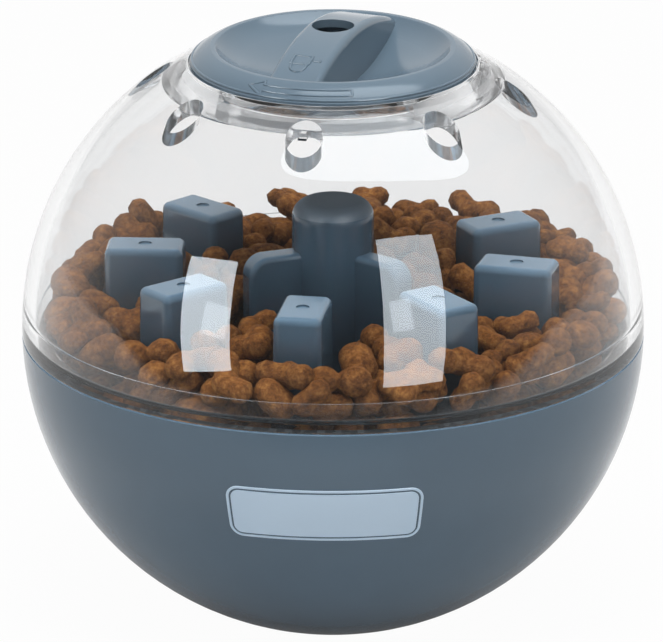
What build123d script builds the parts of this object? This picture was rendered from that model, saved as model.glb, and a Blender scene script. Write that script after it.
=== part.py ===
from build123d import *
import math
import os

os.makedirs("parts", exist_ok=True)

# Sizes are in millimetres and angles in degrees.
# The origin is the middle of the flat foot, with Z up.
# A level is a height above the ball's middle.

# Ball shared by the base and the dome
ball_radius = 70.0
foot_radius = 18.0
seam_drop = 1.6
seam_gap = 0.3

# Clearances and the reach of cutting tools
fit_gap = 0.3
slip_gap = 0.2
screw_gap = 0.05
cut_overrun = 4.0

# Base shell
base_wall = 3.0
base_floor = 3.0
rim_wall = 3.1
rebate_width = 1.4
rebate_depth = 1.6

# Bayonet between the dome and the base
dome_lock_count = 4
base_ledge_reach = 1.6
base_ledge_thickness = 2.0
base_ledge_span = 50.0
dome_lug_thickness = 2.2
dome_lug_span = 24.0
base_stop_span = 4.0

# Maze tray and the shelf under its edge
tray_drop = 12.0
tray_floor = 2.4
tray_edge_gap = 0.4
shelf_width = 3.0

# Pegs of the maze, spread about the front with a gap at the back
peg_count = 7
peg_pitch_angle = 42.0
peg_front_angle = 270.0
peg_edge_gap = 13.5
peg_length = 18.6
peg_width = 11.6
peg_corner = 2.2
peg_top_level = 18.5
peg_draft = 1.0
peg_top_round = 1.6
peg_dimple_radius = 1.5
peg_dimple_depth = 0.4

# Centre post and its fins
post_radius = 9.2
post_top_level = 29.5
post_top_round = 3.8
fin_count = 3
fin_reach = 20.8
fin_thickness = 6.0
fin_top_level = 18.5
fin_corner = 4.5
fin_edge_round = 1.2
fin_start_angle = 90.0

# Steel weight in the bottom of the base
weight_radius = 30.0
weight_thickness = 7.0
weight_chamfer = 1.0
weight_lift = 1.3
weight_screw_count = 3
weight_screw_ring = 19.0
weight_boss_radius = 4.6
weight_screw_radius = 1.9
weight_screw_head_radius = 3.6
weight_screw_head_height = 2.4
weight_screw_grip = 4.2
weight_hole_gap = 0.3

# Screws that hold the tray down
tray_screw_count = 4
tray_screw_inset = 8.6
tray_screw_start_angle = 22.5
tray_boss_radius = 4.0
tray_screw_radius = 1.5
tray_screw_head_radius = 3.0
tray_screw_grip = 9.0
screw_point_length = 1.2

# Clear dome
dome_wall = 3.0
spigot_wall = 1.8
band_height = 6.5
band_step = 0.5
flange_height = 2.6
spigot_root_height = 1.2
outlet_count = 8
outlet_neck_margin = 8.2
outlet_radius = 4.15

# Neck of the dome and the cap's bayonet
neck_radius = 32.3
neck_recess = 1.9
neck_ledge_reach = 2.8
neck_ledge_thickness = 4.3
cap_lock_count = 3
cap_lock_start_angle = 90.0
cap_twist = 45.0
cap_lug_span = 30.0
cap_notch_span = 36.0
cap_tab_thickness = 2.0
cap_lug_reach = 2.2
cap_lug_thickness = 1.9
neck_stop_span = 3.5
neck_stop_clear_span = 1.5

# Silicone seals
cap_seal_thickness = 0.8

# Twist-lock cap
cap_edge_thickness = 1.3
cap_flange_width = 4.6
cap_rim_width = 1.1
cap_rim_rise = 4.7
cap_flange_bulge = 0.3
cap_foot_width = 2.4
dish_wall = 2.0
dish_floor_drop = 2.4
dish_floor_radius = 62.0
dish_curve_width = 4.8
cap_groove_width = 5.0
cap_groove_rise = 2.6
cap_edge_round = 0.4

# Arched bar across the cap
bar_angle = 259.0
bar_width = 12.2
bar_arch_radius = 64.0
bar_crest_rise = 9.5
bar_end_inset = 3.4
bar_root_inset = 20.0
bar_end_thickness = 1.15
bar_edge_round = 1.5
bar_side_wall = 1.2
bar_top_wall = 1.8
bar_end_wall = 5.1
bar_hole_radius = 4.75


def ball_reach(radius, level):
    """Distance from the axis to a ball's surface at a level."""
    return math.sqrt(radius**2 - level**2)


def ball_arc(radius, low_level, high_level):
    """Arc of a ball's section between two levels."""
    start = math.degrees(math.asin(low_level / radius))
    end = math.degrees(math.asin(high_level / radius))
    return CenterArc((0, 0), radius, start, end - start)


def ring_sector(inner_radius, outer_radius, middle_angle, span):
    """Outline of one sector of a flat ring."""
    start = middle_angle - span / 2
    inner_arc = CenterArc((0, 0), inner_radius, start, span)
    outer_arc = CenterArc((0, 0), outer_radius, start, span)
    Line(inner_arc @ 0, outer_arc @ 0)
    Line(inner_arc @ 1, outer_arc @ 1)


def spaced_angles(count, start_angle):
    """Angles of a ring of equal features."""
    return [start_angle + 360.0 * number / count for number in range(count)]


def upright_plane(angle):
    """Plane through the axis: x runs outward at an angle, y is a level."""
    turn = math.radians(angle)
    outward = (math.cos(turn), math.sin(turn), 0)
    sideways = (math.sin(turn), -math.cos(turn), 0)
    return Plane(origin=(0, 0, ball_middle), x_dir=outward, z_dir=sideways)


def level_plane(level):
    """Horizontal plane at a level."""
    return Plane.XY.offset(ball_middle + level)


# Levels and radii that follow from the sizes above
ball_middle = math.sqrt(ball_radius**2 - foot_radius**2)
foot_level = -ball_middle
seam_level = -seam_drop
base_inner_radius = ball_radius - base_wall
base_floor_level = foot_level + base_floor

rim_bore_radius = ball_radius - rim_wall
rebate_radius = rim_bore_radius + rebate_width
rebate_level = seam_level - rebate_depth
base_ledge_radius = rim_bore_radius - base_ledge_reach
base_ledge_bottom = rebate_level - base_ledge_thickness
spigot_radius = base_ledge_radius - fit_gap
spigot_bore_radius = spigot_radius - spigot_wall
dome_lug_radius = rim_bore_radius - fit_gap
dome_lug_top = base_ledge_bottom - fit_gap
dome_lug_bottom = dome_lug_top - dome_lug_thickness
rim_bore_bottom = dome_lug_bottom - 2 * fit_gap
dome_bottom = seam_level + seam_gap
dome_lock_angles = spaced_angles(dome_lock_count, 180.0 / dome_lock_count)
base_ledge_angles = spaced_angles(dome_lock_count, 0.0)

tray_top_level = -tray_drop
tray_bottom_level = tray_top_level - tray_floor
tray_radius = ball_reach(base_inner_radius, tray_bottom_level) - tray_edge_gap
tray_screw_ring = tray_radius - tray_screw_inset
peg_ring_radius = tray_radius - peg_edge_gap - peg_length / 2
peg_start_angle = peg_front_angle - peg_pitch_angle * (peg_count - 1) / 2
peg_spread = peg_pitch_angle * peg_count
weight_level = weight_lift - ball_reach(base_inner_radius, weight_radius)
shelf_radius = ball_reach(base_inner_radius, tray_bottom_level) - shelf_width
shelf_bottom_level = -ball_reach(base_inner_radius, shelf_radius)

dome_inner_radius = ball_radius - dome_wall
band_top_level = seam_level + band_height
flange_level = seam_level + flange_height
spigot_root_level = seam_level + spigot_root_height

neck_edge_level = ball_reach(ball_radius, neck_radius)
outlet_ring_radius = neck_radius + outlet_neck_margin
neck_ledge_top = neck_edge_level - neck_recess
neck_ledge_bottom = neck_ledge_top - neck_ledge_thickness
neck_ledge_radius = neck_radius - neck_ledge_reach
neck_ring_radius = ball_reach(dome_inner_radius, neck_ledge_bottom)
cap_tab_radius = neck_ledge_radius - fit_gap
cap_lug_radius = cap_tab_radius + cap_lug_reach
cap_lug_top = neck_ledge_bottom - fit_gap
cap_lug_bottom = cap_lug_top - cap_lug_thickness
cap_notch_radius = cap_lug_radius + fit_gap
cap_lock_angles = spaced_angles(cap_lock_count, cap_lock_start_angle)
neck_stop_turn = cap_twist + (cap_lug_span + neck_stop_span) / 2 + neck_stop_clear_span

cap_seat_level = neck_ledge_top + cap_seal_thickness
cap_radius = neck_radius - fit_gap
cap_rim_radius = cap_radius - cap_flange_width
cap_edge_level = cap_seat_level + cap_edge_thickness
cap_rim_level = cap_seat_level + cap_rim_rise
dish_rim_radius = cap_rim_radius - cap_rim_width
dish_floor_reach = dish_rim_radius - dish_curve_width
dish_floor_level = cap_seat_level - dish_floor_drop
dish_middle_level = dish_floor_level + dish_floor_radius
cap_groove_radius = cap_radius - cap_groove_width
cap_groove_level = cap_seat_level + cap_groove_rise
cap_foot_radius = cap_radius - cap_foot_width
bar_reach = cap_radius - bar_end_inset
bar_root_reach = cap_radius - bar_root_inset
bar_hollow_reach = bar_reach - bar_end_wall
bar_crest_level = cap_seat_level + bar_crest_rise
bar_middle_level = bar_crest_level - bar_arch_radius
bar_end_level = bar_middle_level + ball_reach(bar_arch_radius, bar_reach) - bar_end_thickness
section_plane = upright_plane(0.0)

# Base shell: the lower half of the ball, with a tray shelf, screw bosses and bayonet ledges
with BuildPart() as base_shell:
    with BuildSketch(level_plane(tray_bottom_level)) as tray_boss_outline:
        with PolarLocations(tray_screw_ring, tray_screw_count, tray_screw_start_angle):
            Circle(tray_boss_radius)
    extrude(amount=tray_bottom_level - foot_level, dir=(0, 0, -1))
    with BuildSketch(level_plane(weight_level)) as weight_boss_outline:
        with PolarLocations(weight_screw_ring, weight_screw_count):
            Circle(weight_boss_radius)
    extrude(amount=weight_level - foot_level, dir=(0, 0, -1))
    with Locations((0, 0, ball_middle)):
        Sphere(ball_radius - base_wall / 2, mode=Mode.INTERSECT)
    with BuildSketch(section_plane) as base_section:
        with BuildLine():
            outer_arc = ball_arc(ball_radius, foot_level, seam_level)
            rim_top = Line(outer_arc @ 1, (rebate_radius, seam_level))
            rebate_side = Line(rim_top @ 1, (rebate_radius, rebate_level))
            rebate_bed = Line(rebate_side @ 1, (rim_bore_radius, rebate_level))
            rim_bore = Line(rebate_bed @ 1, (rim_bore_radius, rim_bore_bottom))
            wall_arc = ball_arc(base_inner_radius, tray_bottom_level, rim_bore_bottom)
            Line(rim_bore @ 1, wall_arc @ 1)
            shelf = Line(wall_arc @ 0, (shelf_radius, tray_bottom_level))
            bowl_arc = ball_arc(base_inner_radius, base_floor_level, shelf_bottom_level)
            Line(shelf @ 1, bowl_arc @ 1)
            floor_line = Line(bowl_arc @ 0, (0, base_floor_level))
            axis_line = Line(floor_line @ 1, (0, foot_level))
            Line(axis_line @ 1, outer_arc @ 0)
        make_face()
    revolve(axis=Axis.Z)
    with BuildSketch(level_plane(base_ledge_bottom)) as base_ledge_outline:
        for angle in base_ledge_angles:
            with BuildLine():
                ring_sector(base_ledge_radius, rim_bore_radius + rim_wall / 2, angle, base_ledge_span)
            make_face()
    extrude(amount=base_ledge_thickness)
    with BuildSketch(level_plane(dome_lug_bottom)) as base_stop_outline:
        for angle in base_ledge_angles:
            with BuildLine():
                ring_sector(base_ledge_radius, rim_bore_radius + rim_wall / 2, angle, base_stop_span)
            make_face()
    extrude(amount=base_ledge_bottom - dome_lug_bottom)
    with Locations(level_plane(tray_bottom_level)):
        with PolarLocations(tray_screw_ring, tray_screw_count, tray_screw_start_angle):
            Hole(tray_screw_radius + screw_gap, depth=tray_screw_grip + screw_point_length)
    with Locations(level_plane(weight_level)):
        with PolarLocations(weight_screw_ring, weight_screw_count):
            Hole(weight_screw_radius + screw_gap, depth=weight_screw_grip + screw_point_length)
base_shell.part.label = "base_shell"

# Counterweight: a steel disc that sets the ball upright again
with BuildPart() as counterweight:
    with BuildSketch(level_plane(weight_level)):
        Circle(weight_radius)
        with PolarLocations(weight_screw_ring, weight_screw_count):
            Circle(weight_screw_radius + weight_hole_gap, mode=Mode.SUBTRACT)
    extrude(amount=weight_thickness)
    weight_edges = counterweight.edges().filter_by(GeomType.CIRCLE)
    chamfer(weight_edges.filter_by(lambda edge: edge.radius == weight_radius), weight_chamfer)
counterweight.part.label = "counterweight"

# One pan-head screw of the weight, standing on its seat at the origin
with BuildPart() as weight_screw:
    with BuildSketch(Plane.XZ):
        with BuildLine():
            Polyline(
                (0, weight_screw_head_height),
                (weight_screw_head_radius, weight_screw_head_height),
                (weight_screw_head_radius, 0),
                (weight_screw_radius, 0),
                (weight_screw_radius, -weight_thickness - weight_screw_grip),
                (0, -weight_thickness - weight_screw_grip - screw_point_length),
                close=True,
            )
        make_face()
    revolve(axis=Axis.Z)
    crown = weight_screw.edges().filter_by(GeomType.CIRCLE).group_by(Axis.Z)[-1]
    fillet(crown, weight_screw_head_height / 2)

with BuildPart() as weight_screws:
    with Locations(level_plane(weight_level + weight_thickness)):
        with PolarLocations(weight_screw_ring, weight_screw_count):
            add(weight_screw.part)
weight_screws.part.label = "weight_screws"

# One fin of the post, pointing along X
with BuildPart() as fin_blank:
    with BuildSketch(section_plane) as fin_outline:
        with BuildLine():
            fin_top = Line((0, fin_top_level), (fin_reach - fin_corner, fin_top_level))
            corner_middle = (fin_reach - fin_corner, fin_top_level - fin_corner)
            fin_shoulder = CenterArc(corner_middle, fin_corner, 0, 90)
            fin_end = Line(fin_shoulder @ 0, (fin_reach, tray_top_level))
            fin_foot = Line(fin_end @ 1, (0, tray_top_level))
            Line(fin_foot @ 1, fin_top @ 0)
        make_face()
    extrude(amount=fin_thickness / 2, both=True)
    side_edges = fin_blank.faces().filter_by(Axis.Y).edges()
    outer_edges = side_edges.sort_by(Axis.X)[2:]
    fillet(outer_edges.sort_by(Axis.Z)[2:], fin_edge_round)

# Maze tray: a flat floor with pegs round a finned post
with BuildPart() as maze_tray:
    with BuildSketch(level_plane(tray_bottom_level)):
        Circle(tray_radius)
    extrude(amount=tray_floor)
    with BuildSketch(level_plane(tray_top_level)):
        with PolarLocations(peg_ring_radius, peg_count, peg_start_angle, peg_spread):
            RectangleRounded(peg_length, peg_width, peg_corner)
    extrude(amount=peg_top_level - tray_top_level, taper=peg_draft)
    peg_tops = maze_tray.faces().filter_by(Axis.Z).group_by(Axis.Z)[-1]
    fillet(peg_tops.edges(), peg_top_round)
    with Locations(level_plane(peg_top_level)):
        with PolarLocations(peg_ring_radius, peg_count, peg_start_angle, peg_spread):
            Hole(peg_dimple_radius, depth=peg_dimple_depth)
    with PolarLocations(0, fin_count, fin_start_angle):
        add(fin_blank.part)
    with BuildSketch(level_plane(tray_top_level)):
        Circle(post_radius)
    extrude(amount=post_top_level - tray_top_level)
    post_rim = maze_tray.faces().filter_by(Axis.Z).sort_by(Axis.Z)[-1].edges()
    fillet(post_rim, post_top_round)
    with Locations(level_plane(tray_top_level)):
        with PolarLocations(tray_screw_ring, tray_screw_count, tray_screw_start_angle):
            CounterSinkHole(tray_screw_radius + fit_gap, tray_screw_head_radius + fit_gap)
maze_tray.part.label = "maze_tray"

# One countersunk screw of the tray, with its flat head at the origin
with BuildPart() as tray_screw:
    with BuildSketch(Plane.XZ):
        with BuildLine():
            Polyline(
                (0, 0),
                (tray_screw_head_radius, 0),
                (tray_screw_radius, tray_screw_radius - tray_screw_head_radius),
                (tray_screw_radius, -tray_floor - tray_screw_grip),
                (0, -tray_floor - tray_screw_grip - screw_point_length),
                close=True,
            )
        make_face()
    revolve(axis=Axis.Z)

with BuildPart() as tray_screws:
    with Locations(level_plane(tray_top_level)):
        with PolarLocations(tray_screw_ring, tray_screw_count, tray_screw_start_angle):
            add(tray_screw.part)
tray_screws.part.label = "tray_screws"

# Seam seal: a silicone ring in the base's rebate, round the dome's spigot
with BuildPart() as seam_seal:
    with BuildSketch(level_plane(rebate_level)):
        Circle(rebate_radius - fit_gap)
        Circle(spigot_radius + slip_gap, mode=Mode.SUBTRACT)
    extrude(amount=dome_bottom - rebate_level)
seam_seal.part.label = "seam_seal"

# Dome: the clear upper half, with a spigot, outlet holes and a notched neck ledge
with BuildPart() as dome:
    with BuildSketch(section_plane) as dome_section:
        with BuildLine():
            outer_arc = ball_arc(ball_radius, dome_bottom, neck_edge_level)
            neck_bore = Line(outer_arc @ 1, (neck_radius, neck_ledge_top))
            ledge_top = Line(neck_bore @ 1, (neck_ledge_radius, neck_ledge_top))
            ledge_side = Line(ledge_top @ 1, (neck_ledge_radius, neck_ledge_bottom))
            inner_arc = ball_arc(dome_inner_radius, band_top_level, neck_ledge_bottom)
            Line(ledge_side @ 1, inner_arc @ 1)
            band_arc = ball_arc(dome_inner_radius - band_step, flange_level, band_top_level)
            Line(inner_arc @ 0, band_arc @ 1)
            flange_slope = Line(band_arc @ 0, (spigot_bore_radius, spigot_root_level))
            spigot_bore = Line(flange_slope @ 1, (spigot_bore_radius, dome_lug_bottom))
            spigot_foot = Line(spigot_bore @ 1, (spigot_radius, dome_lug_bottom))
            spigot_side = Line(spigot_foot @ 1, (spigot_radius, dome_bottom))
            Line(spigot_side @ 1, outer_arc @ 0)
        make_face()
    revolve(axis=Axis.Z)
    with BuildSketch(level_plane(dome_lug_bottom)) as dome_lug_outline:
        for angle in dome_lock_angles:
            with BuildLine():
                ring_sector(spigot_radius - spigot_wall / 2, dome_lug_radius, angle, dome_lug_span)
            make_face()
    extrude(amount=dome_lug_thickness)
    with BuildSketch(level_plane(neck_ledge_top)) as notch_outline:
        for angle in cap_lock_angles:
            with BuildLine():
                ring_sector(neck_ledge_radius - cut_overrun, cap_notch_radius, angle, cap_notch_span)
            make_face()
    extrude(amount=neck_ledge_thickness, dir=(0, 0, -1), mode=Mode.SUBTRACT)
    with BuildSketch(level_plane(neck_ledge_bottom)) as neck_stop_outline:
        for angle in cap_lock_angles:
            stop_angle = angle - neck_stop_turn
            with BuildLine():
                ring_sector(neck_ledge_radius, neck_radius, stop_angle, neck_stop_span)
            make_face()
    extrude(amount=neck_ledge_bottom - cap_lug_bottom, dir=(0, 0, -1))
    with Locations(level_plane(ball_radius)):
        with PolarLocations(outlet_ring_radius, outlet_count):
            Hole(outlet_radius)
dome.part.label = "dome"

# Cap seal: a flat silicone ring between the cap's foot and the neck ledge
with BuildPart() as cap_seal:
    with BuildSketch(level_plane(neck_ledge_top)):
        Circle(cap_radius)
        Circle(cap_foot_radius, mode=Mode.SUBTRACT)
    extrude(amount=cap_seal_thickness)
cap_seal.part.label = "cap_seal"

# Solid blank of the cap's arched bar
with BuildPart() as bar_blank:
    with BuildSketch(upright_plane(bar_angle)) as bar_outline:
        with BuildLine():
            arch_turn = math.degrees(math.asin(bar_reach / bar_arch_radius))
            arch = CenterArc((0, bar_middle_level), bar_arch_radius, 90 - arch_turn, 2 * arch_turn)
            Polyline(
                arch @ 1,
                (-bar_reach, bar_end_level),
                (-bar_root_reach, dish_floor_level),
                (bar_root_reach, dish_floor_level),
                (bar_reach, bar_end_level),
                arch @ 0,
            )
        make_face()
    extrude(amount=bar_width / 2, both=True)
    fillet(bar_blank.edges().filter_by(GeomType.CIRCLE), bar_edge_round)

# Cap: a dished lid with a hollow arched bar to turn it by, and bayonet tabs below
with BuildPart() as cap:
    with BuildSketch(section_plane) as cap_section:
        with BuildLine():
            edge_side = Line((cap_radius, cap_seat_level), (cap_radius, cap_edge_level))
            flange_middle = (
                (cap_radius + cap_rim_radius) / 2 + cap_flange_bulge,
                (cap_edge_level + cap_rim_level) / 2 + cap_flange_bulge,
            )
            flange = ThreePointArc(edge_side @ 1, flange_middle, (cap_rim_radius, cap_rim_level))
            rim_top = Line(flange @ 1, (dish_rim_radius, cap_rim_level))
            floor_turn = math.degrees(math.asin(dish_floor_reach / dish_floor_radius))
            dish_middle = (0, dish_middle_level)
            dish_floor = CenterArc(dish_middle, dish_floor_radius, 270, floor_turn)
            TangentArc(dish_floor @ 1, rim_top @ 1, tangent=dish_floor % 1)
            axis_line = Line(dish_floor @ 0, (0, dish_floor_level - dish_wall))
            dish_back = CenterArc(dish_middle, dish_floor_radius + dish_wall, 270, floor_turn)
            groove = Line(dish_back @ 1, (cap_groove_radius, cap_groove_level))
            groove_side = Line(groove @ 1, (cap_foot_radius, cap_seat_level))
            Line(groove_side @ 1, edge_side @ 0)
        make_face()
    revolve(axis=Axis.Z)
    rim_edges = cap.edges().filter_by(GeomType.CIRCLE).group_by(Axis.Z)[-1]
    fillet(rim_edges, cap_edge_round)
    add(bar_blank.part)
    with BuildSketch(upright_plane(bar_angle)) as hollow_outline:
        with BuildLine():
            hollow_radius = bar_arch_radius - bar_top_wall
            hollow_turn = math.degrees(math.asin(bar_hollow_reach / hollow_radius))
            arch = CenterArc((0, bar_middle_level), hollow_radius, 90 - hollow_turn, 2 * hollow_turn)
            hollow_bottom = dish_floor_level - dish_wall - cut_overrun
            Polyline(
                arch @ 1,
                (-bar_hollow_reach, hollow_bottom),
                (bar_hollow_reach, hollow_bottom),
                arch @ 0,
            )
        make_face()
    extrude(amount=bar_width / 2 - bar_side_wall, both=True, mode=Mode.SUBTRACT)
    with Locations(level_plane(bar_crest_level)):
        Hole(bar_hole_radius, depth=bar_top_wall + bar_hole_radius)
    with BuildSketch(level_plane(cap_lug_bottom)) as cap_tab_outline:
        for angle in cap_lock_angles:
            with BuildLine():
                ring_sector(cap_tab_radius - cap_tab_thickness, cap_tab_radius, angle, cap_lug_span)
            make_face()
    extrude(amount=cap_groove_level - cap_lug_bottom)
    with BuildSketch(level_plane(cap_lug_bottom)) as cap_lug_outline:
        for angle in cap_lock_angles:
            with BuildLine():
                ring_sector(cap_tab_radius - cap_tab_thickness / 2, cap_lug_radius, angle, cap_lug_span)
            make_face()
    extrude(amount=cap_lug_thickness)
cap.part.label = "cap"

pieces = [
    base_shell,
    counterweight,
    weight_screws,
    maze_tray,
    tray_screws,
    seam_seal,
    dome,
    cap_seal,
    cap,
]
for piece in pieces:
    export_step(piece.part, f"parts/{piece.part.label}.step")
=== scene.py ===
import math

import bmesh
import bpy
import numpy as np
from mathutils import Euler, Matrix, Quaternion, Vector


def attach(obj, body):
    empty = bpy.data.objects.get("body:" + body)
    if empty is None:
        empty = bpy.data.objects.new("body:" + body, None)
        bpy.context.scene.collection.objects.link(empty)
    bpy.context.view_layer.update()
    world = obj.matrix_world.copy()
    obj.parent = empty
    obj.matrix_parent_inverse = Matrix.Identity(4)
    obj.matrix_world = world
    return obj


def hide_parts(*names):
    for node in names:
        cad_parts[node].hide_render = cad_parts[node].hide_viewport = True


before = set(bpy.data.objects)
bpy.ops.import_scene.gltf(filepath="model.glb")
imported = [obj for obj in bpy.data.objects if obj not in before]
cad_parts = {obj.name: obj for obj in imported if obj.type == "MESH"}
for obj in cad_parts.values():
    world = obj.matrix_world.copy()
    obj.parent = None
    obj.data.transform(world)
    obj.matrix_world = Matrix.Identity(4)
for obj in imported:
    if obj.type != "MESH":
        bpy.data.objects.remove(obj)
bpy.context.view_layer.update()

# Sizes as the solids have them, in metres and degrees; levels count from the ball's middle
BALL_RADIUS = 0.070
FOOT_RADIUS = 0.018
BALL_MIDDLE = math.sqrt(BALL_RADIUS**2 - FOOT_RADIUS**2)
SEAM_LEVEL = -0.0016
SEAM_GAP = 0.0003
DOME_WALL = 0.003
SPIGOT_BORE = 0.0632
SPIGOT_RADIUS = 0.065
SPIGOT_FOOT_LEVEL = -0.0077
SPIGOT_ROOT_LEVEL = -0.0004
BAND_TOP_LEVEL = 0.0049
BAND_STEP = 0.0005
FLANGE_LEVEL = 0.0010
DOME_LUG_RADIUS = 0.0666
DOME_LUG_TOP = -0.0055
DOME_LUG_SPAN = 24.0
DOME_LUG_ANGLES = (45.0, 135.0, 225.0, 315.0)
OUTLET_COUNT = 8
OUTLET_PITCH = 360.0 / OUTLET_COUNT
OUTLET_RING = 0.0405
OUTLET_RADIUS = 0.00415
NECK_RADIUS = 0.0323
NECK_LEDGE_RADIUS = 0.0295
NECK_LEDGE_TOP = 0.0602
NECK_LEDGE_BOTTOM = 0.0559
NECK_NOTCH_RADIUS = 0.0317
NECK_NOTCH_SPAN = 36.0
NECK_STOP_TURN = -63.25
NECK_STOP_SPAN = 3.5
NECK_STOP_BOTTOM = 0.0537
CAP_LOCK_ANGLES = (90.0, 210.0, 330.0)
CAP_RADIUS = 0.032
CAP_EDGE_LEVEL = 0.0623
CAP_RIM_RADIUS = 0.0274
CAP_RIM_LEVEL = 0.0657
CAP_FLANGE_BULGE = 0.0004
BAR_ANGLE = 259.0
BAR_ARCH_RADIUS = 0.064
BAR_CREST_LEVEL = 0.0705
TRAY_LEVEL = -0.012
TRAY_REACH = 0.0626
PEG_PITCH = 42.0
PEG_ANGLES = [270.0 + PEG_PITCH * step for step in range(-3, 4)]
PEG_RING = 0.04223
PEG_LENGTH = 0.0186
PEG_WIDTH = 0.0116
POST_RADIUS = 0.0092
FIN_REACH = 0.0208
FIN_THICKNESS = 0.006
FIN_ANGLES = (90.0, 210.0, 330.0)

# Mesh of the dome: its fineness, the eases of its edges and how far the tools run past them
DOME_STEPS = 240
DOME_OUTSIDE_STEPS = 72
DOME_INSIDE_STEPS = 64
DOME_BAND_STEPS = 8
BLOCK_STEPS = 16
BORE_STEPS = 64
EASE_STEPS = 4
EASE_MOST_SHARE = 0.45
SEAM_EASE = 0.0003
NECK_EASE = 0.0005
LEDGE_ROOT_EASE = 0.0003
BAND_ROOT_EASE = 0.0001
BAND_EASE = 0.0002
SPIGOT_ROOT_EASE = 0.0006
SPIGOT_FOOT_EASE = 0.0004
LUG_OVERLAP = 0.0009
STOP_INSET = 0.0004
NOTCH_OVERRUN = 0.004
TOOL_OVERRUN = 0.001
OUTLET_LOW_LEVEL = 0.045
OUTLET_HIGH_LEVEL = 0.065
CRISP_ANGLE = 32.0

# Where the dome's finish changes: at the neck, at the foot and in the outlets
NECK_FROST_RADIUS = 0.0368
NECK_FROST_REACH = 0.00235
NECK_LEDGE_MIDDLE = (NECK_LEDGE_TOP + NECK_LEDGE_BOTTOM) / 2
FOOT_INNER_RADIUS = 0.0675
FOOT_TOP_LEVEL = BAND_TOP_LEVEL + BAND_STEP / 2
BORE_REACH = OUTLET_RADIUS * 1.01

# Dry food: balls that blend into each baked shape, as x, y, z and radius in millimetres
MILLIMETRE = 0.001
FOOD_SHAPES = [
    [(-4.2, 2.6, 0, 3.1), (-4.2, -2.6, 0, 3.1), (4.2, 2.6, 0, 3.1), (4.2, -2.6, 0, 3.1), (0, 0, 0, 3.4)],
    [(-3.7, 0, 0, 3.9), (3.7, 0, 0, 3.6)],
    [(-3.2, 1.9, 0, 3.5), (3.2, 1.9, 0, 3.5), (0, -2.6, 0, 3.5)],
    [(-1.9, 0, 0, 4.2), (1.9, 0, 0, 4.2)],
    [(-4.5, 1.6, 0, 3.4), (0, -0.9, 0, 3.5), (4.5, 1.6, 0, 3.4)],
]
FOOD_REPEATS = 3
FOOD_FINENESS = 3
FOOD_SKIN_STEPS = 24
FOOD_LONGEST = 0.012
FOOD_BLEND = 0.00055
FOOD_WAVES = 14
FOOD_WAVE = 0.0011
FOOD_SWELL = 0.00005
FOOD_FLATNESS = 0.9
FOOD_SIZES = ((0.86, 1.06), (0.7, 0.84))
FOOD_TILT = 0.35

# How the food is heaped
SEED = 11
FOOD_CELL = 0.0008
FOOD_CLEAR = 0.0003
FOOD_REACH = 0.0660
FOOD_SINK = 0.0009
FOOD_LIFT = 0.00005
FOOD_LIMIT = 0.0668
FOOD_TRIES = 44
FOOD_SHIFT = 6
FOOD_LEAST_NEED = 0.0015
FOOD_MOST = 460
HEAP_FRONT = 0.0092
HEAP_BACK = 0.0115
HEAP_START = -0.005
HEAP_END = 0.042
HEAP_BARE_RADIUS = 0.035
HEAP_DIP = 0.008
HEAP_DIP_ANGLE = 120.0
HEAP_DIP_SPAN = 9.0

# Raised signs on the cap
SIGN_WIDTH = 0.0007
SIGN_HEIGHT = 0.0003
SIGN_DEPTH = 0.0002
SIGN_SPACING = 0.0006
SIGN_CRISP_ANGLE = 50.0
RIDGE_STEPS = 7
LOCK_PLACE = 0.0202
LOCK_SHIFT = 0.0006
LOCK_WIDTH = 0.0042
LOCK_BODY = 0.0031
LOCK_BOW_RADIUS = 0.0017
LOCK_BOW_RISE = 0.0012
LOCK_BOW_STEPS = 13
TICK_GAP = 0.0006
TICK_LENGTH = 0.0018
ARROW_RADIUS = 0.0300
ARROW_TAIL_ANGLE = 287.0
ARROW_HEAD_ANGLE = 241.0
ARROW_HEAD_SPAN = 7.0
ARROW_SHAFT = 0.0012
ARROW_HEAD = 0.0029
BEAD_RADIUS = 0.0315
BEAD_STEPS = 180

# Bare plate on the base; its aim counts right, up and towards the viewer in the photograph
PLATE_WIDTH = 0.0434
PLATE_HEIGHT = 0.0138
PLATE_CORNER = 0.0030
PLATE_AIM = (-0.027, -0.603, 0.797)
PLATE_RISE = 0.00018
PLATE_DEPTH = 0.0003
PLATE_BORDER = 0.0006
PLATE_GAP = 0.00045
PLATE_EASE = 0.00008
PLATE_WELD = PLATE_EASE / 100
PLATE_CORNER_STEPS = 9
PLATE_LONG_STEPS = 30
PLATE_SHORT_STEPS = 8
PLATE_CRISP_ANGLE = 40.0
PANEL_SHARES = (0.15, 0.4, 0.7, 1.0)

# Finishes: darkest and lightest colour, lowest and highest roughness, and shine
GREY_COLOURS = ((0.079, 0.125, 0.173), (0.090, 0.141, 0.193))
CAP_COLOURS = ((0.083, 0.120, 0.156), (0.094, 0.135, 0.173))
TRAY_COLOURS = ((0.058, 0.096, 0.134), (0.067, 0.109, 0.150))
PLATE_COLOURS = ((0.51, 0.65, 0.79), (0.56, 0.70, 0.84))
SILICONE_COLOURS = ((0.03, 0.037, 0.043), (0.055, 0.065, 0.073))
STEEL_COLOURS = ((0.42, 0.43, 0.45), (0.66, 0.67, 0.68))
SATIN_ROUGHNESS = (0.11, 0.19)
TRAY_ROUGHNESS = (0.08, 0.15)
PLATE_ROUGHNESS = (0.3, 0.42)
SILICONE_ROUGHNESS = (0.5, 0.7)
STEEL_ROUGHNESS = (0.25, 0.5)
FOOD_ROUGHNESS = (0.55, 0.85)
SATIN_SHINE = 0.52
TRAY_SHINE = 0.9
FOOD_SHINE = 0.12
CRUST_COLOUR = (0.055, 0.018, 0.003)
CRUMB_COLOUR = (0.190, 0.072, 0.016)
PALE_CRUMB_COLOUR = (0.40, 0.195, 0.055)
FOOD_TONES = ((0.72, 0.66, 0.6), (1.12, 1.06, 1.0))
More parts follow.
